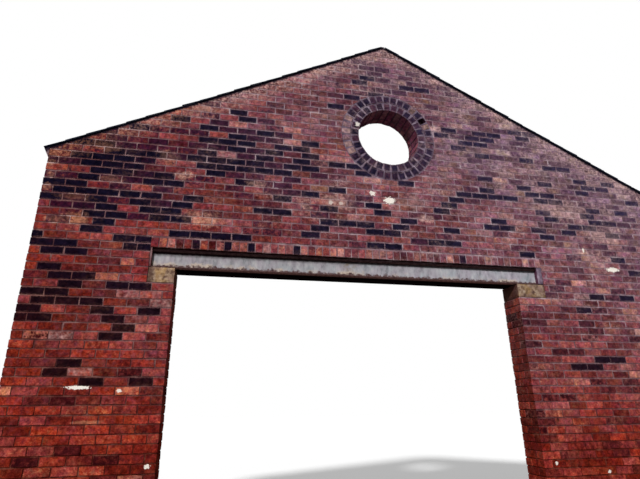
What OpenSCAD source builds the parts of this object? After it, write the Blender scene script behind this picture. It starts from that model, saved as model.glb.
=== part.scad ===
// Brick gable wall of a former shed: two piers, an opening carried by a pair
// of rolled joists, a bull's-eye of two rings of headers, and a slate coping.
// The origin is at ground level in the middle of the wall. +X runs along the
// wall, +Y goes through it to the back, +Z is up. All sizes in millimetres.

/* [Bricks] */
// Length of a brick, the side that a stretcher shows
brick_l = 225; // [205:1:240]
// Width of a brick, which is its height when laid on edge
brick_w = 112; // [100:1:118]
// Height of a brick laid flat, which is its width when laid on edge
brick_h = 80; // [65:1:84]
// Mortar joint between bricks
joint = 10; // [7:1:13]
// How far mortar that is modelled stands back from the brick faces
raking = 5; // [3:1:9]

/* [Wall] */
// Length of the wall
wall_w = 8280; // [7900:10:9000]
// Width of the left pier, from the wall's end to the opening
left_pier_w = 1517; // [1250:1:1800]
// Clear width of the opening
opening_w = 4240; // [3600:10:4800]
// Courses of brick in a pier, up to the padstone
pier_courses = 31; // [26:1:36]
// Height of brickwork at the wall's ends, above the bricks over the joists
shoulder_h = 1000; // [920:10:1400]
// Slope of the gable, in degrees
roof_pitch = 27.3; // [25:0.1:32]

/* [Padstones and joists] */
// Courses that a padstone is high
stone_courses = 2; // [1:1:3]
// Radius that a padstone's arrises at the jamb are worn to
stone_arris = 9; // [2:1:25]
// How far the joists bear on the left padstone
bearing_left = 265; // [200:5:350]
// How far the joists bear on the right padstone
bearing_right = 322; // [200:1:400]
// Mortar between the joists' left ends and the brickwork
packing_left = 25; // [15:1:80]
// Mortar between the joists' right ends and the brickwork
packing_right = 78; // [15:1:110]
// Depth of a joist
joist_depth = 203; // [178:1:229]
// Width of a joist's flanges
flange_w = 102; // [90:1:150]
// Thickness of a flange, halfway out to its toe
flange_t = 10.4; // [9:0.2:18]
// Thickness of a joist's web
web_t = 7; // [5:0.5:12]
// Slope of the inner faces of the flanges, in degrees
flange_slope = 8; // [5:0.5:10]
// Radius at the root of a flange
root_r = 9; // [6:1:16]
// Radius at the toe of a flange
toe_r = 3; // [2:0.5:4]
// How far the joists stand back from the wall's faces
joist_setback = 10; // [4:1:12]
// Mortar bed between the joists and the bricks on edge
bed_t = 22; // [12:1:30]
// How far that bed has fallen out, back from the wall's faces
bed_lost = 45; // [12:1:75]
// Mortar joint over the bricks on edge
level_joint = 23; // [10:1:30]

/* [Bull's-eye] */
// Clear diameter of the bull's-eye
oculus_d = 840; // [700:10:940]
// Height of its centre above the bricks over the joists
oculus_up = 1630; // [1500:10:1760]
// Place of the lost header in the outer ring, counted clockwise from the top
lost_header = 6; // [0:1:20]
// Depth of the hole that the lost header leaves
lost_depth = 95; // [60:5:180]

/* [Coping] */
// Thickness of the slate coping
coping_t = 28; // [20:1:50]
// How far the coping oversails each face of the wall
coping_over = 20; // [10:1:45]
// How far the coping runs past the wall's ends
eave_over = 50; // [30:1:80]
// Gap between the two slopes of coping at the apex
apex_gap = 40; // [20:1:70]

/* [Hidden] */
$fn = 96;
arc_steps = 5;

course = brick_h + joint;
wall_t = brick_l + joint + brick_w;
front = -wall_t / 2;
back = wall_t / 2;

end_left = -wall_w / 2;
end_right = wall_w / 2;
jamb_left = end_left + left_pier_w;
jamb_right = jamb_left + opening_w;
joist_left = jamb_left - bearing_left;
joist_right = jamb_right + bearing_right;
pocket_left = joist_left - packing_left;
pocket_right = joist_right + packing_right;

z_stone = pier_courses * course;
z_soffit = z_stone + stone_courses * course;
z_bed = z_soffit + joist_depth;
z_edge = z_bed + bed_t;
z_gable = z_edge + brick_w + level_joint;
z_eave = z_gable + shoulder_h;

// The bull's-eye: each ring is as deep as a brick is wide, with a joint round it
oculus_r = oculus_d / 2;
ring_t = brick_w + joint;
outer_r = oculus_r + ring_t;
hole_r = outer_r + ring_t;
z_oculus = z_gable + oculus_up;
inner_count = ring_count(oculus_r);
outer_count = ring_count(outer_r);

// The gable is built in panels: shoulders and breast up to a whole course under
// the bull's-eye, then the slopes, with a panel round the bull's-eye
panel_courses = floor((min(shoulder_h, oculus_up - hole_r) - joint) / course);
z_panel = z_gable + panel_courses * course;
panel_half = hole_r + brick_l + joint;

brick_red = [0.46, 0.17, 0.13];
ring_brown = [0.25, 0.14, 0.15];
mortar_grey = [0.62, 0.55, 0.52];
stone_buff = [0.64, 0.52, 0.34];
steel_grey = [0.58, 0.58, 0.57];
slate_dark = [0.12, 0.13, 0.15];

// Height of the brickwork's sloping top at a distance from the middle
function roof_z(x) = z_eave + (wall_w / 2 - abs(x)) * tan(roof_pitch);

// Headers that fit round a ring, with at least one joint between their inner corners
function ring_count(r) = floor(180 / asin((brick_h + joint) / 2 / r));

function unit(v) = v / norm(v);

// Points of an arc of radius r that rounds the corner q between p and s
function round_corner(p, q, s, r) =
    let (
        u = unit(p - q),
        v = unit(s - q),
        half = acos(u * v) / 2,
        c = q + unit(u + v) * r / sin(half),
        a0 = q + u * r / tan(half) - c,
        a1 = q + v * r / tan(half) - c
    )
    [for (i = [0:arc_steps]) let (k = i / arc_steps) c + unit(a0 * (1 - k) + a1 * k) * r];

// An outline whose corners [x, y, radius] are rounded where the radius isn't 0
function rounded(path) =
    let (n = len(path), at = function (i) [path[i % n].x, path[i % n].y])
    [
        for (i = [0:n - 1])
            each path[i][2] == 0
                ? [at(i)]
                : round_corner(at(i + n - 1), at(i), at(i + 1), path[i][2])
    ];

// A slab with its outline in the wall's plane, from one depth to another
module slab(outline, y0 = front, y1 = back) {
    translate([0, y1, 0])
        rotate([90, 0, 0])
            linear_extrude(y1 - y0)
                polygon(outline);
}

module block(x0, x1, z0, z1, y0 = front, y1 = back) {
    translate([x0, y0, z0])
        cube([x1 - x0, y1 - y0, z1 - z0]);
}

// A round bar through the wall, centred on the bull's-eye
module disc(r, y0 = front, y1 = back) {
    translate([0, y1, z_oculus])
        rotate([90, 0, 0])
            cylinder(r = r, h = y1 - y0);
}

module left_pier() {
    color(brick_red) block(end_left, jamb_left, 0, z_stone);
}

module right_pier() {
    color(brick_red) block(jamb_right, end_right, 0, z_stone);
}

module left_pier_head() {
    color(brick_red) block(end_left, pocket_left, z_stone, z_gable);
}

module right_pier_head() {
    color(brick_red) block(pocket_right, end_right, z_stone, z_gable);
}

// A stone through the wall, from the jamb to the back of its pocket
module padstone(jamb, pocket) {
    translate([0, 0, z_stone])
        linear_extrude(z_soffit - z_stone)
            polygon(rounded([
                [pocket, front, 0], [jamb, front, stone_arris],
                [jamb, back, stone_arris], [pocket, back, 0]
            ]));
}

module left_padstone() {
    color(stone_buff) padstone(jamb_left, pocket_left);
}

module right_padstone() {
    color(stone_buff) padstone(jamb_right, pocket_right);
}

// Section of a rolled joist, centred on its web with its underside at 0
module joist_section() {
    hw = flange_w / 2;
    w = web_t / 2;
    // the flange is flange_t thick halfway between the web and its toe
    rise = (hw - w) / 2 * tan(flange_slope);
    toe = flange_t - rise;
    root = flange_t + rise;
    half = [
        [hw, 0, 0], [hw, toe, toe_r], [w, root, root_r],
        [w, joist_depth - root, root_r], [hw, joist_depth - toe, toe_r], [hw, joist_depth, 0]
    ];
    mirrored = [for (i = [len(half) - 1:-1:0]) [-half[i].x, half[i].y, half[i][2]]];
    polygon(rounded(concat(half, mirrored)));
}

module joist(y) {
    translate([joist_left, y, z_soffit])
        rotate([90, 0, 90])
            linear_extrude(joist_right - joist_left)
                joist_section();
}

joist_y = wall_t / 2 - joist_setback - flange_w / 2;

module front_joist() {
    color(steel_grey) joist(-joist_y);
}

module back_joist() {
    color(steel_grey) joist(joist_y);
}

// Mortar that is left on a joist, from the flange's inner toe outwards
module joist_bed(side) {
    inner = side * (joist_y - flange_w / 2);
    outer = side * (wall_t / 2 - bed_lost);
    block(joist_left, joist_right, z_bed, z_edge, min(inner, outer), max(inner, outer));
}

module front_joist_bed() {
    color(mortar_grey) joist_bed(-1);
}

module back_joist_bed() {
    color(mortar_grey) joist_bed(1);
}

module left_end_packing() {
    color(mortar_grey)
        block(pocket_left, joist_left, z_soffit, z_edge, front + raking, back - raking);
}

module right_end_packing() {
    color(mortar_grey)
        block(joist_right, pocket_right, z_soffit, z_edge, front + raking, back - raking);
}

// Bricks on edge: whole bricks at the front, half bricks at the back
edge_split = front + brick_l + joint;

module front_bricks_on_edge() {
    color(brick_red) block(pocket_left, pocket_right, z_edge, z_gable, front, edge_split);
}

module back_bricks_on_edge() {
    color(brick_red) block(pocket_left, pocket_right, z_edge, z_gable, edge_split, back);
}

module left_shoulder() {
    color(brick_red) block(end_left, -panel_half, z_gable, z_panel);
}

module breast() {
    color(brick_red) block(-panel_half, panel_half, z_gable, z_panel);
}

module right_shoulder() {
    color(brick_red) block(panel_half, end_right, z_gable, z_panel);
}

// Brickwork of one slope, out from the panel round the bull's-eye
module gable_slope(side) {
    slab([
        [side * panel_half, z_panel], [side * wall_w / 2, z_panel],
        [side * wall_w / 2, z_eave], [side * panel_half, roof_z(panel_half)]
    ]);
}

module left_gable_slope() {
    color(brick_red) gable_slope(-1);
}

module right_gable_slope() {
    color(brick_red) gable_slope(1);
}

module oculus_sill_panel() {
    color(brick_red)
        difference() {
            block(-panel_half, panel_half, z_panel, z_oculus);
            disc(hole_r, front - 1, back + 1);
        }
}

module oculus_head_panel() {
    color(brick_red)
        difference() {
            slab([
                [-panel_half, z_oculus], [panel_half, z_oculus],
                [panel_half, roof_z(panel_half)], [0, roof_z(0)],
                [-panel_half, roof_z(panel_half)]
            ]);
            disc(hole_r, front - 1, back + 1);
        }
}

// Radiating headers of one ring, clockwise from the top
module ring_of_headers(r, count, y0, y1, cut = 0) {
    for (i = [0:count - 1])
        translate([0, 0, z_oculus])
            rotate([0, i * 360 / count, 0])
                let (start = cut > 0 && i == lost_header ? y0 + cut : y0)
                    translate([-brick_h / 2, start, r])
                        cube([brick_h, y1 - start, brick_w]);
}

ring_split = front + brick_l;

module front_inner_ring() {
    color(ring_brown) ring_of_headers(oculus_r, inner_count, front, ring_split);
}

module front_outer_ring() {
    color(ring_brown) ring_of_headers(outer_r, outer_count, front, ring_split, lost_depth);
}

module back_inner_ring() {
    color(ring_brown) ring_of_headers(oculus_r, inner_count, ring_split + joint, back);
}

module back_outer_ring() {
    color(ring_brown) ring_of_headers(outer_r, outer_count, ring_split + joint, back);
}

// Mortar round the headers of a ring, from core_r out to rim_r, raked back from the faces
module ring_mortar(r, count, core_r, rim_r) {
    difference() {
        disc(rim_r, front + raking, back - raking);
        disc(core_r, front, back);
        ring_of_headers(r, count, front, ring_split);
        ring_of_headers(r, count, ring_split + joint, back);
    }
}

// The two rings' mortar meets in the middle of the joint between them
between_r = outer_r - joint / 2;

module inner_ring_mortar() {
    color(mortar_grey) ring_mortar(oculus_r, inner_count, oculus_r + raking, between_r);
}

module outer_ring_mortar() {
    color(mortar_grey) ring_mortar(outer_r, outer_count, between_r, hole_r);
}

// Coping of one slope, cut square at the eave and plumb at the apex
coping_rise = coping_t / cos(roof_pitch);

module coping(side) {
    tip = wall_w / 2 + eave_over;
    slab([
        [side * apex_gap / 2, roof_z(apex_gap / 2)],
        [side * tip, roof_z(tip)],
        [side * (tip + coping_t * sin(roof_pitch)), roof_z(tip) + coping_t * cos(roof_pitch)],
        [side * apex_gap / 2, roof_z(apex_gap / 2) + coping_rise]
    ], front - coping_over, back + coping_over);
}

module left_coping() {
    color(slate_dark) coping(-1);
}

module right_coping() {
    color(slate_dark) coping(1);
}

// Mortar that fills the gap between the two slopes of coping
module apex_bedding() {
    color(mortar_grey)
        slab([
            [-apex_gap / 2, roof_z(apex_gap / 2)], [0, roof_z(0)],
            [apex_gap / 2, roof_z(apex_gap / 2)],
            [apex_gap / 2, roof_z(apex_gap / 2) + coping_rise - raking],
            [-apex_gap / 2, roof_z(apex_gap / 2) + coping_rise - raking]
        ]);
}

// Fillet under the coping where it runs past the wall's end
module eave_fillet(side) {
    tip = wall_w / 2 + eave_over;
    slab([
        [side * wall_w / 2, z_eave], [side * tip, roof_z(tip)],
        [side * wall_w / 2, roof_z(tip) - eave_over / tan(roof_pitch)]
    ]);
}

module left_eave_fillet() {
    color(slate_dark) eave_fillet(-1);
}

module right_eave_fillet() {
    color(slate_dark) eave_fillet(1);
}

left_pier();
right_pier();
left_pier_head();
right_pier_head();
left_padstone();
right_padstone();
front_joist();
back_joist();
front_joist_bed();
back_joist_bed();
left_end_packing();
right_end_packing();
front_bricks_on_edge();
back_bricks_on_edge();
left_shoulder();
breast();
right_shoulder();
left_gable_slope();
right_gable_slope();
oculus_sill_panel();
oculus_head_panel();
front_inner_ring();
front_outer_ring();
back_inner_ring();
back_outer_ring();
inner_ring_mortar();
outer_ring_mortar();
left_coping();
right_coping();
apex_bedding();
left_eave_fillet();
right_eave_fillet();
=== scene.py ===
import math
import random

import bmesh
import bpy
from mathutils import Matrix, Vector, noise


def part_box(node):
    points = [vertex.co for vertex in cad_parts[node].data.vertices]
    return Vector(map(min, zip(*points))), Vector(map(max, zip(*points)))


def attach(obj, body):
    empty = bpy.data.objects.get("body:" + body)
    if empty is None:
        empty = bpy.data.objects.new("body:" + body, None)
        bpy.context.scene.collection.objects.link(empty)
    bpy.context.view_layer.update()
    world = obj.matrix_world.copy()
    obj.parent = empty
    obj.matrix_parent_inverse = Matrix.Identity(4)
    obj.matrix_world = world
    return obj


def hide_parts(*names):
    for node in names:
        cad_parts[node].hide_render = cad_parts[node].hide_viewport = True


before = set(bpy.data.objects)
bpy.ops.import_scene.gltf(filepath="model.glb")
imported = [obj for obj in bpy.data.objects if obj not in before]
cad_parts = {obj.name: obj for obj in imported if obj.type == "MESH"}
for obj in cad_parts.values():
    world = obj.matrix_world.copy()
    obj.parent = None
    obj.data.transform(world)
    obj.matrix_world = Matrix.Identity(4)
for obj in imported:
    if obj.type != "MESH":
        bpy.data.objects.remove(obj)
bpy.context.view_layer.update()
print("frame loaded:", len(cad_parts), "nodes")

# The wall's own lines, read from the frame. x runs along the wall, y goes through it, z is up
pierLow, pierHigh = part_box("left_pier")
farPierLow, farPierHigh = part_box("right_pier")
breastLow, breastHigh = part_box("breast")
wall = {
    "left": pierLow.x,
    "right": farPierHigh.x,
    "front": pierLow.y,
    "back": pierHigh.y,
    "jambLeft": pierHigh.x,
    "jambRight": farPierLow.x,
    "pocketLeft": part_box("left_padstone")[0].x,
    "pocketRight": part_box("right_padstone")[1].x,
    "stoneLow": pierHigh.z,
    "soffit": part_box("left_padstone")[1].z,
    "edgeLow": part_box("front_bricks_on_edge")[0].z,
    "gableLow": breastLow.z,
    "panelLow": breastHigh.z,
    "panelHalf": breastHigh.x,
    "apex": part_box("oculus_head_panel")[1].z,
}
wall["slope"] = (wall["apex"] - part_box("left_gable_slope")[1].z) / wall["panelHalf"]
roofAngle = math.atan(wall["slope"])

# The bull's-eye, from the frame's mortar rings
eye = {
    "z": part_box("oculus_sill_panel")[1].z,
    "split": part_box("inner_ring_mortar")[1].x,   # where the two rings' mortar meets
    "edge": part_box("outer_ring_mortar")[1].x,    # where the wall's own bricks begin
}


def roofHeight(x):
    return wall["apex"] - abs(x) * wall["slope"]


# Bricks

brick = {
    "length": 0.225,
    "width": 0.112,
    "height": 0.080,
    "joint": 0.010,
    "shortest": 0.070,      # bats shorter than this are shared with the next brick
    "arris": 0.003,         # how far the edges are worn back
    "wobble": 0.0011,       # unevenness of a hand-made face, in and out
    "waver": 0.0024,        # unevenness of its outline
    "longer": 0.002,        # how much further a brick may reach into the upright joint beside it
    "shift": 0.0016,        # how far a brick sits out of line
    "chipped": 0.05,        # share of corners that are knocked off
    "chip": 0.009,          # how much is gone there at most
    "trimmed": 0.006,       # a brick that comes this near to the coping is trimmed
    "clear": 0.007,         # how far its trimmed top lies below the coping
    "lowest": 0.015,        # with less height than this under the coping, no brick is laid
    "sliver": (0.05, 0.025),    # a trimmed brick narrower or lower than this is left out
    "seed": 11,
}
pitch = brick["length"] + brick["joint"]
course = brick["height"] + brick["joint"]
# The wall's two faces: where each lies, which way is inwards, how deep the bricks over the opening reach in
wallFaces = {"front": (wall["front"], 1, brick["length"]), "back": (wall["back"], -1, brick["width"])}

# How the bricks differ. Pairs are the least and the most of what goes from 0 to 1
mixture = {
    "red": (0.0, 0.24),         # how burnt a red brick is
    "maroon": (0.30, 0.44),     # a maroon one
    "moreMaroon": 0.34,         # how much further that goes where they are many
    "maroonShare": 0.10,        # how many bricks are maroon away from the places below
    "stray": (0.66, 1.0),       # how burnt those are that stand alone
    "strayFront": 0.98,         # how rare they are in the front
    "strayBack": 0.50,          # and in the back
    "strayRun": 0.45,           # length in metres of a run of them
    "burnt": (0.84, 1.0),       # the front's burnt bricks, in the runs below
    "halfBurnt": (0.40, 0.60),  # those of them in the lowest courses
    "lowCourses": 13,
    "shade": (0.47, 0.11),      # mean and spread of the shades
    "drift": 0.24,              # how far they drift along the wall
    "driftSize": (0.8, 0.4),    # metres along and up
    "light": (0.86, 1.0),       # shades of the few very light ones
    "lightShare": 0.03,
    "salty": (0.2, 0.9),        # how salty a salty brick is
    "saltyShare": 0.04,
    "moreSalty": 0.2,           # how many more of them the lightest stretches have
}

# Runs of dark burnt bricks in the front face. Course: from where to where along the wall.
# Noted by eye in crops of the photo; scratch scripts turned the pixels into metres with the fitted camera
burntRuns = {
    11: [(-3.95, -3.74), (-3.21, -2.98)],
    12: [(-3.55, -3.31)],
    19: [(-3.45, -3.24), (-2.96, -2.76)],
    20: [(-3.80, -3.57)],
    21: [(-3.67, -3.45), (2.21, 2.78)],
    22: [(2.63, 3.12)],
    24: [(-3.32, -3.10)],
    25: [(-3.67, -3.56), (-3.18, -3.08)],
    26: [(-4.11, -3.83), (-3.31, -3.10)],
    27: [(-4.14, -3.93), (-3.44, -3.22), (-2.95, -2.84), (2.60, 2.75)],
    28: [(-4.02, -3.35), (1.97, 2.15)],
    29: [(-4.14, -3.69), (2.55, 2.74), (3.05, 3.25)],
    30: [(-3.77, -3.67), (-3.30, -2.93)],
    31: [(-3.90, -3.44), (2.77, 2.99), (3.05, 3.47)],
    32: [(-3.93, -3.68)],
    34: [(-4.04, -3.56)],
    35: [(-4.14, -3.68), (-3.18, -2.96), (2.80, 3.02), (3.38, 3.57)],
    36: [(-4.14, -4.05), (-3.30, -2.98), (2.68, 2.88)],
    37: [(-3.68, -3.43), (-2.72, -1.78), (-0.36, 0.15), (1.78, 2.06), (3.13, 3.30)],
    38: [(-3.58, -3.32), (-1.17, -0.96), (0.49, 0.94)],
    39: [(-3.68, -3.20), (-2.97, -2.48), (-1.20, -0.86), (-0.34, 0.15)],
    40: [(-3.56, -3.30), (-3.08, -2.60), (-0.94, -0.22), (0.01, 0.26), (0.74, 0.98), (2.16, 2.38)],
    41: [(-4.14, -3.90), (-3.67, -3.46), (-3.22, -2.97), (-2.75, -2.50), (-1.79, -1.33),
         (0.11, 0.37), (1.32, 1.78), (2.07, 2.31), (2.53, 2.76), (3.24, 3.47)],
    42: [(-4.02, -3.56), (-3.32, -2.86), (-2.60, -2.40), (-0.95, -0.78), (-0.28, -0.02),
         (1.30, 1.53), (2.64, 3.14)],
    43: [(-4.13, -3.70), (-1.50, -1.35), (-0.42, -0.18), (0.62, 0.88), (2.30, 2.55), (3.00, 3.28)],
    44: [(-3.79, -3.57), (-3.04, -2.64), (-1.19, -1.06), (-0.35, -0.15), (0.57, 0.80),
         (1.98, 2.22), (2.70, 3.10)],
    45: [(-4.13, -4.03), (-3.72, -3.22), (-3.00, -2.76), (-2.07, -1.87), (-0.94, -0.68),
         (0.76, 0.93), (2.80, 3.05), (3.42, 3.70)],
    46: [(-3.82, -3.10), (-2.42, -2.18), (0.84, 1.30), (1.48, 1.75), (2.05, 2.44)],
    47: [(-3.90, -3.22), (-2.56, -1.38), (0.00, 0.22), (1.21, 1.46), (2.08, 2.34),
         (3.03, 3.24), (3.70, 3.87)],
    48: [(-3.56, -2.88), (-2.68, -1.74), (-1.52, -1.04), (-0.57, -0.37), (1.75, 1.98), (2.88, 3.14)],
    49: [(-3.69, -3.49), (-2.55, -2.35), (-1.88, -1.62), (-1.40, -1.20), (-0.74, -0.48),
         (1.19, 1.44), (2.15, 2.40), (3.00, 3.47)],
    50: [(-2.20, -1.95), (-1.72, -1.53), (-1.20, -1.07), (2.90, 3.12), (3.36, 3.60)],
    51: [(-2.56, -1.85), (-1.60, -1.14)],
    52: [(-3.35, -3.18), (-2.19, -2.00), (-1.30, -1.04), (2.43, 2.70)],
    53: [(-2.53, -2.33), (-1.88, -1.62), (-1.20, -0.98), (1.16, 1.42), (1.89, 2.14)],
    54: [(-2.87, -2.66), (0.82, 1.08)],
    55: [(0.70, 0.88), (1.06, 1.40)],
    56: [(-2.16, -1.97), (0.67, 0.92), (1.17, 1.62)],
    57: [(-0.64, -0.45), (0.70, 0.95), (1.15, 1.62), (1.90, 2.30)],
    58: [(1.84, 2.30)],
    59: [(-0.80, -0.57)],
    61: [(-0.58, -0.36)],
    62: [(-0.83, -0.68), (-0.22, 0.00)],
    64: [(-0.42, -0.19), (0.29, 0.59)],
    65: [(-0.32, -0.11)],
}

# Duller, maroon bricks gather in these places: x, z, half width, half height, how thick they come
maroonPlaces = [
    (-3.3, 4.15, 0.95, 0.65, 0.95),
    (-2.1, 4.50, 1.10, 0.55, 0.75),
    (-0.2, 3.60, 1.20, 0.40, 0.38),
    (1.5, 5.10, 0.80, 0.40, 0.45),
    (1.4, 4.10, 0.90, 0.60, 0.25),
    (3.1, 4.00, 1.00, 0.55, 0.40),
    (-3.8, 2.90, 0.45, 0.60, 0.14),
    (0.2, 5.95, 0.90, 0.45, 0.50),
    # this place darkens the right pier's middle in place of a gradient of shade: painted shade
    (2.5, 2.40, 1.00, 0.80, 0.28),
]

# Splashes of lime on the front face: x, z, half width, half height, strength
limeSplashes = [
    (-0.050, 4.000, 0.075, 0.045, 1.0),
    (-0.270, 4.085, 0.040, 0.032, 0.9),
    (3.130, 3.225, 0.100, 0.030, 1.0),
    (-3.440, 1.692, 0.105, 0.018, 1.0),
    (-3.050, 1.660, 0.022, 0.018, 0.9),
    (-2.704, 0.960, 0.026, 0.020, 0.9),
    (-0.439, 5.106, 0.030, 0.034, 0.8),
    (2.727, 3.480, 0.016, 0.034, 0.9),
    (1.778, 0.860, 0.018, 0.018, 0.8),
    (2.457, 0.750, 0.022, 0.018, 0.8),
    (-0.830, 3.910, 0.030, 0.026, 0.5),
    (-0.700, 3.910, 0.028, 0.022, 0.4),
]

# Pale patches of dried salts there, listed in the same way
saltPatches = [
    (-2.62, 4.11, 0.10, 0.05, 1.0),
    (-1.76, 4.08, 0.12, 0.04, 1.0),
    (-2.39, 3.58, 0.20, 0.09, 0.7),
    (-1.15, 3.82, 0.07, 0.04, 0.9),
    (-2.84, 4.35, 0.12, 0.08, 0.5),
    (-3.73, 3.48, 0.14, 0.07, 0.7),
    (-3.42, 3.99, 0.12, 0.05, 0.6),
    (-3.55, 4.41, 0.14, 0.07, 0.6),
    (-0.75, 3.92, 0.22, 0.10, 0.5),
    (-3.30, 1.37, 0.12, 0.02, 0.5),
    (2.55, 4.05, 0.35, 0.16, 0.5),
    (3.10, 3.75, 0.30, 0.14, 0.5),
    (-3.44, 4.00, 0.13, 0.04, 0.6),
    (-3.80, 3.74, 0.16, 0.04, 0.5),
    (-4.09, 4.15, 0.04, 0.04, 0.9),
    (-4.08, 4.00, 0.04, 0.04, 0.9),
    (-4.08, 3.84, 0.05, 0.04, 0.9),
    (-3.93, 3.45, 0.09, 0.05, 0.6),
    (0.45, 3.78, 0.10, 0.05, 0.6),
    (0.30, 4.00, 0.20, 0.10, 0.3),
]


def clamped(value):
    return min(1.0, max(0.0, value))


def maroonShare(x, z):
    # thick in the middle of a place, thinning out from six tenths of its width
    share = mixture["maroonShare"]
    for px, pz, halfWide, halfHigh, thick in maroonPlaces:
        away = math.hypot((x - px) / halfWide, (z - pz) / halfHigh)
        share = max(share, thick * clamped(1.6 - away))
    return share


def brickLook(rng, x, z, onFront):
    # how burnt, which shade, how salty: three numbers from 0 to 1
    number = int(z / course)
    share = maroonShare(x, z)
    burnt = rng.uniform(*mixture["red"])
    run = noise.noise(Vector((x / mixture["strayRun"], number * 1.37, 3.0 if onFront else 9.0)))
    if rng.random() < share:
        low, high = mixture["maroon"]
        burnt = rng.uniform(low, high + mixture["moreMaroon"] * share)
    if run > mixture["strayFront" if onFront else "strayBack"] - 0.75 * share:
        burnt = rng.uniform(*mixture["stray"])
    if onFront and any(start <= x <= stop for start, stop in burntRuns.get(number, ())):
        burnt = rng.uniform(*mixture["burnt" if number > mixture["lowCourses"] else "halfBurnt"])
    wide, high = mixture["driftSize"]
    drift = noise.noise(Vector((x / wide, z / high, 17.0)))
    shade = clamped(rng.gauss(*mixture["shade"]) + mixture["drift"] * drift)
    if rng.random() < mixture["lightShare"]:
        shade = rng.uniform(*mixture["light"])
    isSalty = rng.random() < mixture["saltyShare"] + mixture["moreSalty"] * max(0.0, drift)
    salty = rng.uniform(*mixture["salty"]) if isSalty else 0.0
    return burnt, shade, salty


def newBrickMesh():
    bm = bmesh.new()
    bm.verts.layers.float_color.new("look")
    bm.verts.layers.float_vector.new("place")
    return bm


def edgesOf(verts):
    return list(dict.fromkeys(e for v in verts for e in v.link_edges))


def firstVert(geometry):
    return next(g for g in geometry if isinstance(g, bmesh.types.BMVert))



def directionOf(edge):
    return (edge.verts[0].co - edge.verts[1].co).normalized()


def wearArrises(bm, verts, offset):
    sharp = [e for e in edgesOf(verts) if e.calc_face_angle(0.0) > 0.6]     # radians
    bmesh.ops.bevel(
        bm, geom=sharp, offset=offset, offset_type="OFFSET", affect="EDGES",
        segments=1, profile=0.5, material=-1, clamp_overlap=True)


def axisVector(axis):
    return Vector([float(i == axis) for i in range(3)])


def sliceAll(bm, point, normal):
    # a cut right through that leaves both sides in place
    geometry = bm.verts[:] + bm.edges[:] + bm.faces[:]
    bmesh.ops.bisect_plane(bm, geom=geometry, plane_co=point, plane_no=normal)


def makePlate(points, deep):
    # a closed plate with this outline in the wall's plane, extruded towards the back
    bm = bmesh.new()
    face = bm.faces.new([bm.verts.new(p) for p in points])
    made = bmesh.ops.extrude_face_region(bm, geom=[face])
    rear = [g for g in made["geom"] if isinstance(g, bmesh.types.BMVert)]
    bmesh.ops.translate(bm, verts=rear, vec=(0.0, deep, 0.0))
    return bm


def connectedTo(vert):
    # every vertex of the piece that this one belongs to. Their order can differ from run to run,
    # and with it which corner gets which random draw
    found = [vert]
    known = {vert}
    for v in found:
        for e in v.link_edges:
            other = e.other_vert(v)
            if other not in known:
                known.add(other)
                found.append(other)
    return found


def layBrick(bm, rng, centre, size, look, turn=None, cuts=()):
    # one brick: a box with a long side in three, uneven, cut where a plane says, its arrises worn.
    # It says whether there is a brick left
    turn = turn or Matrix.Identity(3)
    matrix = Matrix.Translation(centre) @ turn.to_4x4() @ Matrix.Diagonal((*size, 1.0))
    verts = bmesh.ops.create_cube(bm, size=1.0, matrix=matrix)["verts"]
    lookLayer = bm.verts.layers.float_color["look"]
    placeLayer = bm.verts.layers.float_vector["place"]
    back = matrix.inverted()
    for v in verts:
        v[lookLayer] = (*look, 1.0)
        v[placeLayer] = 2.0 * (back @ v.co)
    along = turn.col[max(range(3), key=lambda i: size[i])]
    longEdges = [e for e in edgesOf(verts) if abs(directionOf(e).dot(along)) > 0.9]
    made = bmesh.ops.subdivide_edges(bm, edges=longEdges, cuts=2)
    verts = connectedTo(firstVert(made["geom_inner"]))
    shift = Vector([rng.uniform(-1, 1) * brick["shift"] for i in range(3)])
    uneven = (brick["waver"], brick["wobble"], brick["waver"])
    for v in verts:
        v.co += shift + Vector([rng.uniform(-1, 1) * part for part in uneven])
        if len(v.link_edges) == 3 and rng.random() < brick["chipped"]:
            v.co += (Vector(centre) - v.co).normalized() * rng.uniform(0.3, 1.0) * brick["chip"]
    for point, normal in cuts:
        if all((v.co - point).dot(normal) <= 0 for v in verts):
            continue
        if all((v.co - point).dot(normal) >= 0 for v in verts):
            bmesh.ops.delete(bm, geom=verts, context="VERTS")
            return False
        faces = list(dict.fromkeys(f for v in verts for f in v.link_faces))
        cut = bmesh.ops.bisect_plane(
            bm, geom=verts + edgesOf(verts) + faces, plane_co=point, plane_no=normal, clear_outer=True)
        rim = [g for g in cut["geom_cut"] if isinstance(g, bmesh.types.BMEdge)]
        bmesh.ops.edgeloop_fill(bm, edges=rim)
        verts = connectedTo(rim[0].verts[0])
    if cuts:
        wide, high = [max(v.co[i] for v in verts) - min(v.co[i] for v in verts) for i in (0, 2)]
        if wide < brick["sliver"][0] or high < brick["sliver"][1]:
            bmesh.ops.delete(bm, geom=verts, context="VERTS")
            return False
    wearArrises(bm, verts, brick["arris"] * rng.uniform(0.7, 1.3))
    return True


def finishPiece(name, bm, material, node):
    bmesh.ops.dissolve_degenerate(bm, dist=0.0002, edges=bm.edges[:])
    bmesh.ops.recalc_face_normals(bm, faces=bm.faces)
    mesh = bpy.data.meshes.new(name)
    bm.to_mesh(mesh)
    bm.free()
    mesh.materials.append(material)
    piece = bpy.data.objects.new(name, mesh)
    bpy.context.scene.collection.objects.link(piece)
    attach(piece, "root")
    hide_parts(node)


def coat(node, material):
    # a CAD node that is shown as it is gets its material
    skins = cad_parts[node].data.materials
    skins.clear()
    skins.append(material)


# Nodes of a material

def paint(red, green, blue):
    # a colour as it looks on a screen, from 0 to 255, made linear
    def linear(value):
        value /= 255
        return value / 12.92 if value <= 0.04045 else ((value + 0.055) / 1.055) ** 2.4
    return (linear(red), linear(green), linear(blue), 1.0)


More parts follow.
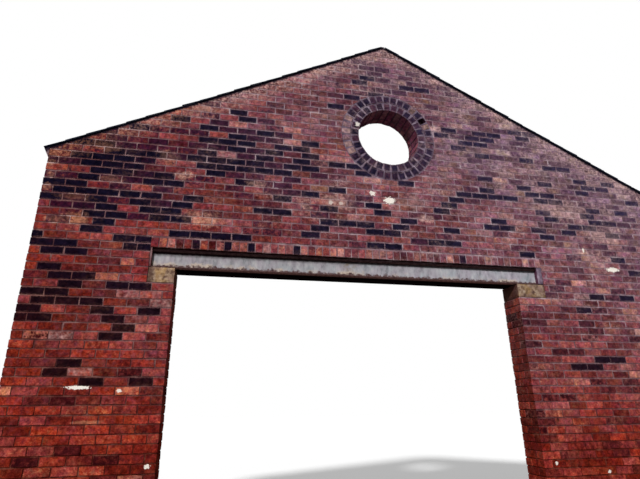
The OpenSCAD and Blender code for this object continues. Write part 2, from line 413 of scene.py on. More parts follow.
def paints(*stops):
    # the stops of a ramp: where each is, then its paint
    return [(place, paint(*colour)) for place, *colour in stops]


def tintsOf(*stops):
    # the same for what a colour is multiplied by
    return [(place, (*tint, 1.0)) for place, *tint in stops]


def shadesOf(low, high, *places):
    # a grey ramp that a colour is multiplied by: darkest, lightest, then where its three stops are
    return tintsOf(*[(place, value, value, value) for place, value in zip(places, (low, 1.0, high))])


def addNode(tree, kind, inputs=None, **settings):
    node = tree.nodes.new(kind)
    for name, value in settings.items():
        setattr(node, name, value)
    for key, value in (inputs or {}).items():
        if isinstance(value, bpy.types.NodeSocket):
            tree.links.new(value, node.inputs[key])
        else:
            node.inputs[key].default_value = value
    return node


def mathNode(tree, operation, first, second=0.0, clamp=False):
    inputs = {0: first, 1: second}
    return addNode(tree, "ShaderNodeMath", inputs, operation=operation, use_clamp=clamp).outputs[0]


def plus(tree, first, second, clamp=False):
    return mathNode(tree, "ADD", first, second, clamp)


def minus(tree, first, second):
    return mathNode(tree, "SUBTRACT", first, second)


def times(tree, first, second):
    return mathNode(tree, "MULTIPLY", first, second)


def larger(tree, first, second):
    return mathNode(tree, "MAXIMUM", first, second)


def sizeOf(tree, value):
    return mathNode(tree, "ABSOLUTE", value)


def stretch(tree, value, low, high, toLow=0.0, toHigh=1.0):
    inputs = {"Value": value, "From Min": low, "From Max": high, "To Min": toLow, "To Max": toHigh}
    return addNode(tree, "ShaderNodeMapRange", inputs, clamp=True).outputs[0]


def axesOf(tree, vector):
    return addNode(tree, "ShaderNodeSeparateXYZ", {"Vector": vector}).outputs


def facing(tree):
    # 1 on the wall's two faces, 0 on reveals, beds and ends
    normal = addNode(tree, "ShaderNodeNewGeometry").outputs["Normal"]
    return sizeOf(tree, axesOf(tree, normal)["Y"])


def scaled(tree, coords, along, through, up):
    return addNode(tree, "ShaderNodeMapping", {"Vector": coords, "Scale": (along, through, up)}).outputs[0]


def attribute(tree, name, output):
    return addNode(tree, "ShaderNodeAttribute", attribute_name=name).outputs[output]


def grain(tree, coords, scale, detail=3.0, rough=0.55, salt=0.0):
    # noise, mostly from 0.3 to 0.7. Another salt gives another pattern of the same kind
    inputs = {"Vector": coords, "W": salt, "Scale": scale, "Detail": detail, "Roughness": rough}
    return addNode(tree, "ShaderNodeTexNoise", inputs, noise_dimensions="4D").outputs["Fac"]


def blendColours(tree, share, first, second, mode="MIX"):
    inputs = {0: share, 6: first, 7: second}
    return addNode(tree, "ShaderNodeMix", inputs, data_type="RGBA", blend_type=mode).outputs[2]


def tinted(tree, colour, tint):
    return blendColours(tree, 1.0, colour, tint, "MULTIPLY")


def colourRamp(tree, value, stops):
    node = addNode(tree, "ShaderNodeValToRGB", {"Fac": value})
    ramp = node.color_ramp
    while len(ramp.elements) < len(stops):
        ramp.elements.new(0.5)
    for element, (position, colour) in zip(ramp.elements, stops):
        element.position = position
        element.color = colour
    return node.outputs["Color"]


def newMaterial(name, rough=0.9, gloss=0.0):
    material = bpy.data.materials.new(name)
    material.use_nodes = True
    tree = material.node_tree
    shader = tree.nodes["Principled BSDF"]
    shader.inputs["Roughness"].default_value = rough
    shader.inputs["Specular IOR Level"].default_value = gloss
    coords = addNode(tree, "ShaderNodeTexCoord").outputs["Object"]
    return material, tree, shader, coords


def addBump(tree, shader, heights):
    # heights: value, depth in metres, one after another
    normal = None
    for value, depth in heights:
        inputs = {"Height": value, "Distance": depth, "Strength": 1.0}
        if normal:
            inputs["Normal"] = normal
        normal = addNode(tree, "ShaderNodeBump", inputs).outputs["Normal"]
    tree.links.new(normal, shader.inputs["Normal"])


# Dust and weather grey the wall towards its top and its right-hand end
weather = {
    "rise": (0.8, 5.0),     # heights where it starts and where it is strongest
    "middle": 0.72,         # how strong it is in the middle of the wall's length
    "lean": 0.14,           # how much more there is for each metre to the right
    "patchy": 0.12,         # how much it varies from place to place
    "reveals": 0.2,         # share of it that the faces turned sideways get
    "joints": (1.1, 2.3),   # heights between which dark joints turn grey
}


def weatherShare(tree, coords):
    axes = axesOf(tree, coords)
    up = stretch(tree, axes["Z"], *weather["rise"])
    lean = plus(tree, times(tree, axes["X"], weather["lean"]), weather["middle"])
    blotch = stretch(tree, grain(tree, coords, 1.4, 4.0), 0.35, 0.65, -weather["patchy"], weather["patchy"])
    share = plus(tree, times(tree, up, lean), times(tree, blotch, up), clamp=True)
    return times(tree, share, stretch(tree, facing(tree), 0.3, 0.8, weather["reveals"], 1.0))


clay = {
    "reds": paints((0.00, 75, 17, 13), (0.28, 104, 27, 18), (0.50, 127, 38, 25),
                   (0.74, 146, 54, 37), (1.00, 172, 95, 68)),
    "dusty": paints((0.00, 80, 54, 72), (0.28, 103, 77, 91), (0.50, 121, 94, 107),
                    (0.74, 139, 112, 120), (1.00, 170, 142, 142)),
    "burntLow": paints((0.30, 74, 20, 18), (0.55, 56, 14, 18), (0.80, 36, 12, 15), (1.00, 26, 10, 16)),
    "burntHigh": paints((0.30, 72, 18, 36), (0.55, 50, 13, 34), (0.80, 19, 11, 26), (1.00, 11, 9, 25)),
    "burntDusty": paints((0.30, 104, 76, 88), (0.55, 84, 60, 78), (0.80, 58, 45, 66), (1.00, 46, 40, 64)),
    "navy": (2.4, 3.4),     # heights between which the burnt bricks turn from red to blue
    "tints": tintsOf((0.36, 0.92, 0.86, 1.14), (0.50, 1.0, 1.0, 1.0), (0.64, 1.10, 1.16, 0.84)),
    "tones": shadesOf(0.60, 1.34, 0.0, 0.5, 1.0),       # from brick to brick
    "clouds": shadesOf(0.56, 1.50, 0.33, 0.50, 0.67),   # within a brick
    "grit": shadesOf(0.66, 1.32, 0.30, 0.50, 0.70),
    "plum": paint(114, 52, 58),
    "salt": paint(200, 166, 160),
    "saltLow": paint(184, 122, 90),                     # salt where there is little dust
    "lime": paint(240, 232, 222),
    # grime and painted shadow close under the coping
    "grimeAndShade": paint(16, 14, 30),
}
ringClay = {
    # the purple of these reds, on the headers' sides in the reveal, is partly a painted tint of shade
    "reds": paints((0.00, 80, 26, 62), (0.40, 112, 40, 76), (0.70, 130, 58, 84), (1.00, 142, 78, 90)),
    "dusty": paints((0.00, 84, 66, 70), (0.50, 112, 94, 94), (1.00, 146, 124, 116)),
}
limeMortar = {
    "low": paints((0.30, 50, 15, 12), (0.50, 80, 31, 24), (0.72, 140, 84, 68)),
    "middle": paints((0.30, 70, 34, 34), (0.50, 104, 64, 62), (0.72, 142, 102, 94)),
    "high": paints((0.30, 98, 70, 80), (0.50, 144, 118, 128), (0.70, 196, 178, 186)),
}


def jointColour(tree, coords, shades):
    coarse = grain(tree, coords, 7.0, 5.0, 0.65)
    risen = stretch(tree, axesOf(tree, coords)["Z"], *weather["joints"])
    weathered = stretch(tree, weatherShare(tree, coords), 0.05, 0.55)
    low, middle, high = [colourRamp(tree, coarse, shades[key]) for key in ("low", "middle", "high")]
    return blendColours(tree, weathered, blendColours(tree, risen, low, middle), high)


def belowRoof(tree, coords):
    axes = axesOf(tree, coords)
    fall = times(tree, sizeOf(tree, axes["X"]), wall["slope"])
    return minus(tree, minus(tree, wall["apex"], fall), axes["Z"])


def patchShare(tree, coords, patches, ragged, edge):
    # how much of a patch lies here: each is an oval with a ragged edge, which reaches 5 cm into the wall
    most = 0.0
    for x, z, halfWide, halfHigh, strength in patches:
        inputs = {"Vector": coords, "Location": (x, wall["front"], z), "Scale": (halfWide, 0.05, halfHigh)}
        place = addNode(tree, "ShaderNodeMapping", inputs, vector_type="TEXTURE").outputs[0]
        away = addNode(tree, "ShaderNodeVectorMath", {0: place}, operation="LENGTH").outputs["Value"]
        share = stretch(tree, plus(tree, away, ragged), 1.0 - edge, 1.0 + edge, strength, 0.0)
        most = larger(tree, share, most)
    return most


def bloomShare(tree, coords, dust):
    # dried salts: broad soft drifts, longer than they are high, single patches, and smears under the coping
    flat = scaled(tree, coords, 1.0, 1.0, 2.2)
    drift = stretch(tree, grain(tree, flat, 2.4, 4.0, 0.6, 5.0), 0.53, 0.66)
    drift = times(tree, drift, stretch(tree, dust, 0.05, 0.45, 0.10, 0.55))
    broken = grain(tree, coords, 34.0, 4.0, 0.7, 6.0)
    ragged = stretch(tree, grain(tree, coords, 16.0, 4.0, 0.7, 7.0), 0.3, 0.7, -0.6, 0.6)
    patches = patchShare(tree, coords, saltPatches, ragged, 0.3)
    smears = plus(tree, belowRoof(tree, coords), times(tree, ragged, 0.2))
    smears = stretch(tree, smears, 0.06, 0.30, 0.8, 0.0)
    loose = times(tree, larger(tree, drift, smears), stretch(tree, broken, 0.42, 0.60))
    return larger(tree, loose, times(tree, patches, stretch(tree, broken, 0.34, 0.50)))


def limeShare(tree, coords):
    ragged = stretch(tree, grain(tree, coords, 55.0, 4.0, 0.7), 0.3, 0.7, -0.55, 0.55)
    return patchShare(tree, coords, limeSplashes, ragged, 0.1)


def addGrimeAndShade(tree, coords, colour, deep=0.016):
    # the dark line close under the coping: grime, and painted shadow of the coping
    wander = stretch(tree, grain(tree, coords, 18.0, 4.0, 0.7, 2.0), 0.3, 0.7, -0.022, 0.022)
    below = plus(tree, belowRoof(tree, coords), wander)
    return blendColours(tree, stretch(tree, below, deep, deep + 0.018, 0.9, 0.0), colour, clay["grimeAndShade"])


def ownNumber(tree, shade, factor):
    # another number from 0 to 1 that each brick has for itself
    return mathNode(tree, "FRACT", times(tree, shade, factor))


def firedColour(tree, coords, shade, mottle, fleck, dust, shades, endsOnly):
    # clay as it was fired, under its dust, in each brick's tone
    shadeHere = plus(tree, shade, stretch(tree, mottle, 0.34, 0.66, -0.26, 0.26))
    shadeHere = plus(tree, shadeHere, stretch(tree, fleck, 0.34, 0.66, -0.18, 0.18))
    more = times(tree, stretch(tree, ownNumber(tree, shade, 37.0), 0.4, 1.0, -0.02, 0.14), facing(tree))
    dustHere = plus(tree, mathNode(tree, "POWER", dust, 1.3), more, clamp=True)
    fired = colourRamp(tree, shadeHere, shades["reds"])
    if endsOnly:
        dustHere = larger(tree, dustHere, stretch(tree, facing(tree), 0.4, 0.8, 0.0, 0.8))
    else:
        plum = stretch(tree, grain(tree, coords, 16.0, 4.0, 0.65, 12.0), 0.48, 0.62, 0.0, 0.7)
        plum = times(tree, plum, stretch(tree, axesOf(tree, coords)["Z"], 1.0, 2.2, 0.25, 1.0))
        fired = blendColours(tree, plum, fired, clay["plum"])
    colour = blendColours(tree, dustHere, fired, colourRamp(tree, shadeHere, shades["dusty"]))
    colour = tinted(tree, colour, colourRamp(tree, ownNumber(tree, shade, 53.0), clay["tones"]))
    return tinted(tree, colour, colourRamp(tree, grain(tree, coords, 6.0, 4.0, 0.65), clay["tints"]))


def burntColour(tree, coords, burnt, dust):
    low, high, dusty = [colourRamp(tree, burnt, clay[key]) for key in ("burntLow", "burntHigh", "burntDusty")]
    navy = stretch(tree, axesOf(tree, coords)["Z"], *clay["navy"])
    return blendColours(tree, mathNode(tree, "POWER", dust, 1.6), blendColours(tree, navy, low, high), dusty)


def smearShare(tree, coords, dust):
    # mortar smeared over the worn arrises, wider in places and where there is dust
    place = axesOf(tree, attribute(tree, "place", "Vector"))
    wider = stretch(tree, grain(tree, coords, 3.0, 3.0, 0.5, 3.0), 0.45, 0.62, 0.0, 0.6)
    wider = larger(tree, wider, stretch(tree, dust, 0.2, 1.0))
    across = stretch(tree, sizeOf(tree, place["X"]), stretch(tree, wider, 0.0, 1.0, 0.95, 0.88), 1.0)
    upright = stretch(tree, sizeOf(tree, place["Z"]), stretch(tree, wider, 0.0, 1.0, 0.76, 0.46), 1.0)
    ragged = stretch(tree, grain(tree, coords, 46.0, 4.0, 0.65), 0.40, 0.62)
    return times(tree, times(tree, larger(tree, across, upright), ragged), 0.75)


def makeClay(name, shades, endsOnly=False):
    # endsOnly is for headers, whose sides show in the reveal and stay redder than their ends; their purple
    # there is partly a painted tint of shade
    material, tree, shader, coords = newMaterial(name)
    look = addNode(tree, "ShaderNodeSeparateColor", {"Color": attribute(tree, "look", "Color")})
    burnt, shade, salty = look.outputs[:]
    roughness = stretch(tree, burnt, 0.6, 1.0, 0.92, 0.66)
    own = times(tree, shade, 40.0)                           # each brick has its own grain
    mottle = grain(tree, coords, 26.0, 4.0, 0.6, own)
    fleck = grain(tree, coords, 75.0, 3.0, 0.6, own)
    speck = grain(tree, coords, 190.0, 2.0, 0.6, own)
    dust = weatherShare(tree, coords)
    colour = firedColour(tree, coords, shade, mottle, fleck, dust, shades, endsOnly)
    # salts, drying out of single bricks and over all of them
    patchy = stretch(tree, grain(tree, coords, 24.0, 4.0, 0.6, own), 0.36, 0.68)
    colour = blendColours(tree, times(tree, times(tree, salty, patchy), 0.55), colour, clay["salt"])
    bloom = bloomShare(tree, coords, dust)
    salt = blendColours(tree, stretch(tree, dust, 0.1, 0.6), clay["saltLow"], clay["salt"])
    colour = blendColours(tree, bloom, colour, salt)
    # burnt bricks, less salty
    if endsOnly:
        # in the reveal the headers' sides show mostly their purple reds: partly a painted tint of shade
        burnt = times(tree, burnt, stretch(tree, facing(tree), 0.4, 0.8, 0.2, 1.0))
    burnt = plus(tree, burnt, stretch(tree, mottle, 0.34, 0.66, -0.15, 0.15))
    dark = burntColour(tree, coords, burnt, dust)
    dark = blendColours(tree, times(tree, bloom, 0.35), dark, salt)
    colour = blendColours(tree, stretch(tree, burnt, 0.28, 0.48), colour, dark)
    clouds = colourRamp(tree, grain(tree, coords, 20.0, 3.0, 0.6, 9.0), clay["clouds"])
    colour = tinted(tree, tinted(tree, colour, clouds), colourRamp(tree, speck, clay["grit"]))
    # what lies on them
    colour = blendColours(tree, smearShare(tree, coords, dust), colour, jointColour(tree, coords, limeMortar))
    colour = blendColours(tree, limeShare(tree, coords), colour, clay["lime"])
    tree.links.new(addGrimeAndShade(tree, coords, colour), shader.inputs["Base Color"])
    tree.links.new(roughness, shader.inputs["Roughness"])
    addBump(tree, shader, [(mottle, 0.004), (fleck, 0.0025), (speck, 0.0008)])
    return material


def makeMortar(name, shades, salted=True, grimeAndShadeDeep=0.016):
    material, tree, shader, coords = newMaterial(name, 0.95)
    sand = grain(tree, coords, 260.0, 2.0)
    sandy = colourRamp(tree, sand, shadesOf(0.75, 1.14, 0.3, 0.55, 0.7))
    colour = tinted(tree, jointColour(tree, coords, shades), sandy)
    if salted:
        bloom = bloomShare(tree, coords, weatherShare(tree, coords))
        colour = blendColours(tree, bloom, colour, clay["salt"])
        colour = blendColours(tree, limeShare(tree, coords), colour, clay["lime"])
    tree.links.new(addGrimeAndShade(tree, coords, colour, grimeAndShadeDeep), shader.inputs["Base Color"])
    addBump(tree, shader, [(grain(tree, coords, 60.0, 4.0), 0.006), (sand, 0.0015)])
    return material


def evenly(shades):
    # the same shades at every height
    return dict.fromkeys(("low", "middle", "high"), shades)


brickSkin = makeClay("fired_brick", clay)
headerSkin = makeClay("burnt_header", ringClay, endsOnly=True)
mortar = makeMortar("lime_mortar", limeMortar)
print("clay and mortar mixed")


# Brickwork of the wall

def masonryNode(x, z):
    side = "left" if x < 0 else "right"
    if z < wall["stoneLow"]:
        return side + "_pier"
    if z < wall["gableLow"]:
        return side + "_pier_head"
    if z < wall["panelLow"]:
        return "breast" if abs(x) < wall["panelHalf"] else side + "_shoulder"
    if abs(x) > wall["panelHalf"]:
        return side + "_gable_slope"
    return "oculus_sill_panel" if z < eye["z"] else "oculus_head_panel"


def stretchesAt(z):
    # lengths of wall that a course has: from, to, and whether each end is a true corner
    if z < wall["stoneLow"]:
        return [(wall["left"], wall["jambLeft"], True, True), (wall["jambRight"], wall["right"], True, True)]
    if z < wall["gableLow"]:
        return [(wall["left"], wall["pocketLeft"], True, False),
                (wall["pocketRight"], wall["right"], False, True)]
    return [(wall["left"], wall["right"], True, True)]


def bricksAlong(left, right, halfFirst, corner):
    # where each brick of a course starts and stops. The grid runs from the wall's left end
    joint, shortest = brick["joint"], brick["shortest"]
    stop = right + joint
    closer = (pitch / 2 if not halfFirst else pitch) if corner else 0.0
    starts = [left]
    line = wall["left"] + (pitch / 2 if halfFirst else 0.0)
    while line < stop - closer - shortest:
        if line > left + shortest:
            starts.append(line)
        line += pitch
    if corner:
        starts.append(stop - closer)
    spans = []
    for start, end in zip(starts, starts[1:] + [stop]):
        pieces = 2 if end - start > pitch + joint else 1     # too long for one brick: two bats
        step = (end - start) / pieces
        spans += [(start + i * step, start + (i + 1) * step - joint) for i in range(pieces)]
    return spans


def cutsFor(x0, x1, z0, z1):
    # planes that trim a brick at the slopes and round the bull's-eye
    cuts = []
    for side in (-1, 1):
        outer = max(side * x0, side * x1)
        if outer > 0 and z1 > roofHeight(outer) - brick["trimmed"]:
            normal = Vector((side * math.sin(roofAngle), 0.0, math.cos(roofAngle)))
            cuts.append((Vector((0.0, 0.0, wall["apex"] - brick["clear"])), normal))
    centre = Vector((0.0, 0.0, eye["z"]))
    nearest = Vector((min(max(0.0, x0), x1), 0.0, min(max(eye["z"], z0), z1)))
    if (nearest - centre).length < eye["edge"]:
        middle = Vector(((x0 + x1) / 2, 0.0, (z0 + z1) / 2)) - centre
        away = middle.normalized()
        cuts.append((centre + away * eye["edge"], -away))
    return cuts


def layCourse(number, onFront):
    # one course of one face; each piece of wall has its own mesh and its own chance
    laid = 0
    z0 = number * course
    z1 = z0 + brick["height"]
    halfFirst = (number % 2 == 0) == onFront
    outer, inward, _ = wallFaces["front" if onFront else "back"]
    for left, right, cornerLeft, cornerRight in stretchesAt(z0):
        for x0, x1 in bricksAlong(left, right, halfFirst, cornerRight):
            middle = (x0 + x1) / 2
            nearest = min(abs(x0), abs(x1)) if x0 * x1 > 0 else 0.0
            if z0 + brick["lowest"] > roofHeight(nearest):
                continue
            first, last = x0 < left + brick["joint"], x1 > right - brick["joint"]
            atCorner = (cornerLeft and first) or (cornerRight and last)
            header = atCorner and x1 - x0 < brick["length"] * 0.6
            deep = brick["length"] if header else brick["width"]
            node = masonryNode(middle, (z0 + z1) / 2)
            if node not in meshes:
                meshes[node] = newBrickMesh()
                rngs[node] = random.Random(f"{brick['seed']} {node}")
            rng = rngs[node]
            start = x0 if first else x0 - rng.uniform(0, brick["longer"])
            stop = x1 if last else x1 + rng.uniform(0, brick["longer"])
            inset = brick["shift"] + brick["wobble"]
            lifted = brick["shift"] + brick["waver"] if number == 0 else 0.0
            centre = ((start + stop) / 2, outer + inward * (deep / 2 + inset), (z0 + z1) / 2 + lifted)
            look = brickLook(rng, middle, (z0 + z1) / 2, onFront)
            size = (stop - start, deep, z1 - z0)
            laid += layBrick(meshes[node], rng, centre, size, look, cuts=cutsFor(x0, x1, z0, z1))
    return laid


meshes = {}
rngs = {}
count = 0
for number in range(int(wall["apex"] / course) + 1):
    count += layCourse(number, True) + layCourse(number, False)
for node, bm in meshes.items():
    finishPiece(node + "_bricks", bm, brickSkin, node)
print("bricks laid:", count)


# Mortar that the bricks are bedded in, raked back from their faces

bed = {
    "rake": 0.0070,         # mean depth of the joints behind the wall's foremost line
    "rakeLow": 0.0105,      # the same near the ground
    "rise": (1.0, 3.6),     # heights between which it changes
    "uneven": 0.0014,       # how much the depth varies
    "grid": 0.075,          # distance between the points that vary
    "ends": 0.006,          # depth of the joints in ends and jambs
    "arcSteps": 36,         # steps of the half circle round the bull's-eye
}


def jointDepth(x, z):
    low, high = bed["rise"]
    share = clamped((z - low) / (high - low))
    depth = bed["rakeLow"] + (bed["rake"] - bed["rakeLow"]) * share
    return depth + bed["uneven"] * noise.noise(Vector((x * 7.0, z * 7.0, 0.0)))


def makeCore(node, outline, ends=()):
    # a slab with this outline in the wall's plane, gridded so that the joints vary in depth.
    # ends lists where it ends in the open, and which way is inwards there
    bm = makePlate([(x, wall["front"], z) for x, z in outline], wall["back"] - wall["front"])
    step = bed["grid"]
    for axis in (0, 2):
        low = min(v.co[axis] for v in bm.verts)
        high = max(v.co[axis] for v in bm.verts)
        for i in range(math.ceil(low / step), math.floor(high / step) + 1):
            if low + 0.004 < i * step < high - 0.004:      # no cut close to a side
                sliceAll(bm, axisVector(axis) * i * step, axisVector(axis))
    for v in bm.verts:
        depth = jointDepth(v.co.x, v.co.z)
        v.co.y += depth if v.co.y < 0 else -depth
        for end, inward in ends:
            if abs(v.co.x - end) < 0.001:
                v.co.x += inward * bed["ends"]
    finishPiece(node.replace("_panel", "") + "_mortar", bm, mortar, node)


def panelCore(node, left, right, low, high, ends=()):
    makeCore(node, [(left, low), (right, low), (right, high), (left, high)], ends)


def arcPoints(radius, startAngle, stopAngle, steps):
    # points round the bull's-eye, angles from +x towards +z
    for i in range(steps + 1):
        a = math.radians(startAngle + (stopAngle - startAngle) * i / steps)
        yield radius * math.cos(a), eye["z"] + radius * math.sin(a)


half = wall["panelHalf"]
leftEnd, rightEnd = (wall["left"], 1), (wall["right"], -1)
levels = [0.0, wall["stoneLow"], wall["gableLow"], wall["panelLow"]]
panelCore("left_pier", wall["left"], wall["jambLeft"], *levels[0:2], [leftEnd, (wall["jambLeft"], -1)])
panelCore("right_pier", wall["jambRight"], wall["right"], *levels[0:2], [rightEnd, (wall["jambRight"], 1)])
panelCore("left_pier_head", wall["left"], wall["pocketLeft"], *levels[1:3], [leftEnd])
panelCore("right_pier_head", wall["pocketRight"], wall["right"], *levels[1:3], [rightEnd])
panelCore("left_shoulder", wall["left"], -half, *levels[2:4], [leftEnd])
panelCore("breast", -half, half, *levels[2:4])
panelCore("right_shoulder", half, wall["right"], *levels[2:4], [rightEnd])
for side, node, end in ((-1, "left_gable_slope", leftEnd), (1, "right_gable_slope", rightEnd)):
    near, far = side * half, end[0]
    outline = [(near, wall["panelLow"]), (far, wall["panelLow"])]
    outline += [(far, roofHeight(far)), (near, roofHeight(near))]
    makeCore(node, outline, [end])
below = [(-half, wall["panelLow"]), (half, wall["panelLow"]), (half, eye["z"])]
below += list(arcPoints(eye["edge"], 0, -180, bed["arcSteps"])) + [(-half, eye["z"])]
makeCore("oculus_sill_panel", below)
shoulder = roofHeight(half)
above = [(half, eye["z"]), (half, shoulder), (0.0, wall["apex"]), (-half, shoulder), (-half, eye["z"])]
above += list(arcPoints(eye["edge"], 180, 0, bed["arcSteps"]))
makeCore("oculus_head_panel", above)
print("joints filled")


# Bricks on edge over the joists

onEdge = {
    "high": 0.112,
    "burnt": (0.6, 1.0),                # how burnt the dark ones are
    "red": (0.0, 0.36),                 # and the others
    "darkOnes": (5, 9, 12, 18, 42),     # dark ones of the front row, counted from its left end
    "darkShare": 0.14,                  # share of dark ones in the back row
    "saltyShare": 0.3,
    "shade": (0.52, 0.26),              # mean and spread of the shades
}


def layBricksOnEdge(node, outer, inward, deep):
    bm = newBrickMesh()
    rng = random.Random(f"{brick['seed']} {node}")
    left, right = wall["pocketLeft"], wall["pocketRight"]
    number = round((right - left + brick["joint"]) / course)
    step = (right - left + brick["joint"]) / number
    wide = step - brick["joint"]
    inset = brick["shift"] + brick["wobble"]
    for i in range(number):
        x = left + i * step + wide / 2
        dark = i in onEdge["darkOnes"] if inward > 0 else rng.random() < onEdge["darkShare"]
        burnt = rng.uniform(*onEdge["burnt" if dark else "red"])
        salty = rng.uniform(*mixture["salty"]) if rng.random() < onEdge["saltyShare"] else 0.0
        look = (burnt, clamped(rng.gauss(*onEdge["shade"])), salty)
        centre = (x, outer + inward * (deep / 2 + inset), wall["edgeLow"] + onEdge["high"] / 2 + inset)
        layBrick(bm, rng, centre, (wide, deep, onEdge["high"]), look)
    finishPiece(node + "_laid", bm, brickSkin, node)


for side, (face, inward, deep) in wallFaces.items():
    layBricksOnEdge(side + "_bricks_on_edge", face, inward, deep)


def lumpyBlock(name, node, low, high, material, slot, cell, lump, worn, seed):
    # a closed block of something rough, its faces gridded and pushed about inside its own size
    bm = bmesh.new()
    size = high - low
    matrix = Matrix.Translation((low + high) / 2) @ Matrix.Diagonal((*size, 1.0))
    bmesh.ops.create_cube(bm, size=1.0, matrix=matrix)
    for axis in range(3):
        pieces = max(1, round(size[axis] / cell))
        for i in range(1, pieces):
            sliceAll(bm, low + axisVector(axis) * size[axis] * i / pieces, axisVector(axis))
    atLow, atHigh = [
        {v: [abs(v.co[i] - side[i]) < 1e-5 for i in range(3)] for v in bm.verts} for side in (low, high)]
    for v in bm.verts:
        push = 0.5 + 0.5 * noise.noise(v.co * 21.0 + Vector((seed, 0.0, 0.0)))
        onArris = sum(atLow[v]) + sum(atHigh[v]) > 1
        push = push * lump + (worn if onArris else 0.0) * (0.4 + push)
        for i in range(3):
            v.co[i] += push * (atLow[v][i] - atHigh[v][i])
    finishPiece(name, bm, material, node)


for side, seed in (("front", 1.0), ("back", 2.0)):
    low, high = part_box(side + "_bricks_on_edge")
    if side == "front":
        low.y += bed["ends"]
    else:
        high.y -= bed["ends"]
    lumpyBlock(side + "_bricks_on_edge_mortar", side + "_bricks_on_edge", low, high, mortar, "mortar",
               0.05, 0.003, 0.0, seed)
print("bricks on edge laid")


# The bull's-eye: two rings of headers

ring = {
    "lostHeader": 6,        # place of the lost header in the front's outer ring, clockwise from the top
    "lostDepth": 0.095,     # depth of the hole that it leaves
    "burnt": (0.50, 1.00),  # how burnt most headers are
    "red": (0.0, 0.34),     # and the red ones
    "redArcs": [(32, 78), (238, 292)],      # degrees clockwise from the top where most headers are red
    "redShare": 0.7,        # how many of them are red there
    "shade": (0.42, 0.2),   # mean and spread of the shades
    "askew": 1.6,           # degrees that a header may lean
    "uneven": 0.05,         # how much shorter its sides may be
}


def layRing(node, radius, outer, inward, deep):
    bm = newBrickMesh()
    rng = random.Random(f"{brick['seed']} {node}")
    number = math.floor(math.pi / math.asin(course / 2 / radius))
    inset = brick["shift"] + brick["waver"]
    for i in range(number):
        angle = i * 360 / number
        start = ring["lostDepth"] if node == "front_outer_ring" and i == ring["lostHeader"] else 0.0
        turn = Matrix.Rotation(math.radians(angle), 3, "Y")
        middle = turn @ Vector((0.0, 0.0, radius + brick["width"] / 2 + inset))
        turn = Matrix.Rotation(math.radians(rng.uniform(-1, 1) * ring["askew"]), 3, "Y") @ turn
        wide = brick["height"] * (1 - rng.random() * ring["uneven"])
        high = brick["width"] * (1 - rng.random() * ring["uneven"])
        centre = (middle.x, outer + inward * (start + (deep - start) / 2 + inset), middle.z + eye["z"])
        burnt = rng.uniform(*ring["burnt"])
        inArc = radius > eye["split"] and any(a < angle < b for a, b in ring["redArcs"])
        if inArc and rng.random() < ring["redShare"]:
            burnt = rng.uniform(*ring["red"])
        look = (burnt, clamped(rng.gauss(*ring["shade"])), rng.choice((0.0, 0.0, 0.5)))
        layBrick(bm, rng, centre, (wide, deep - start, high), look, turn)
    finishPiece(node + "_headers", bm, headerSkin, node)


innerRadius = eye["split"] + brick["joint"] / 2 - brick["width"] - brick["joint"]
outerRadius = innerRadius + brick["width"] + brick["joint"]
for side, (face, inward, deep) in wallFaces.items():
    layRing(side + "_inner_ring", innerRadius, face, inward, deep)
    layRing(side + "_outer_ring", outerRadius, face, inward, deep)

shelteredAndShaded = paints((0.30, 50, 20, 36), (0.50, 78, 36, 58), (0.72, 110, 68, 88))     # mortar in the reveal, its dark purple partly a painted tint of shade
ringShades = evenly(shelteredAndShaded)
ringShades["high"] = paints((0.30, 62, 48, 62), (0.50, 110, 94, 110), (0.72, 168, 150, 166))
ringMortar = makeMortar("ring_mortar", ringShades)
coat("inner_ring_mortar", ringMortar)
coat("outer_ring_mortar", ringMortar)
print("bull's-eye turned")


# Padstones

stone = {
    "shades": paints((0.30, 88, 66, 56), (0.46, 142, 116, 96), (0.56, 172, 146, 124), (0.72, 208, 186, 162)),
    "ochre": paint(172, 134, 82),
    "pink": paint(150, 116, 108),
    "soot": paint(70, 46, 42),
    "stainEnd": (-2.87, -2.83),         # the left padstone's end is stained up to here
    "revealShadeAndStain": paint(86, 44, 42),        # its sides, darker: painted shade of the joist above them, and staining
    "left": (1.08, 1.08, 1.06, 1.0),    # how the two differ in tone
    "right": (0.80, 0.81, 0.84, 1.0),
    "sand": shadesOf(0.8, 1.1, 0.3, 0.6, 0.7),
}


def makeStone():
    material, tree, shader, coords = newMaterial("buff_sandstone", 0.9)
    coarse = grain(tree, coords, 22.0, 5.0, 0.65)
    sand = grain(tree, coords, 240.0, 2.0)
    colour = colourRamp(tree, coarse, stone["shades"])
    rusty = stretch(tree, grain(tree, coords, 9.0, 3.0, 0.5, 4.0), 0.46, 0.62, 0.0, 0.55)
    colour = blendColours(tree, rusty, colour, stone["ochre"])
    pinkish = stretch(tree, grain(tree, coords, 8.0, 4.0, 0.6, 11.0), 0.48, 0.60, 0.0, 0.6)
    colour = blendColours(tree, pinkish, colour, stone["pink"])
    blotch = grain(tree, coords, 15.0, 4.0, 0.6, 8.0)
    x = plus(tree, axesOf(tree, coords)["X"], stretch(tree, blotch, 0.3, 0.7, -0.03, 0.03))
    stained = stretch(tree, x, *stone["stainEnd"], 0.8, 0.0)
    sooty = larger(tree, stained, stretch(tree, blotch, 0.50, 0.62, 0.0, 0.75))
    colour = blendColours(tree, sooty, colour, stone["soot"])
    # the sides that face the opening darkened: painted shade, with some stain
    colour = blendColours(tree, stretch(tree, facing(tree), 0.4, 0.8, 0.8, 0.0), colour, stone["revealShadeAndStain"])
    toned = blendColours(tree, stretch(tree, x, -1.0, 1.0), stone["left"], stone["right"])
    colour = tinted(tree, tinted(tree, colour, toned), colourRamp(tree, sand, stone["sand"]))
    tree.links.new(colour, shader.inputs["Base Color"])
    addBump(tree, shader, [(coarse, 0.008), (sand, 0.001)])
    return material


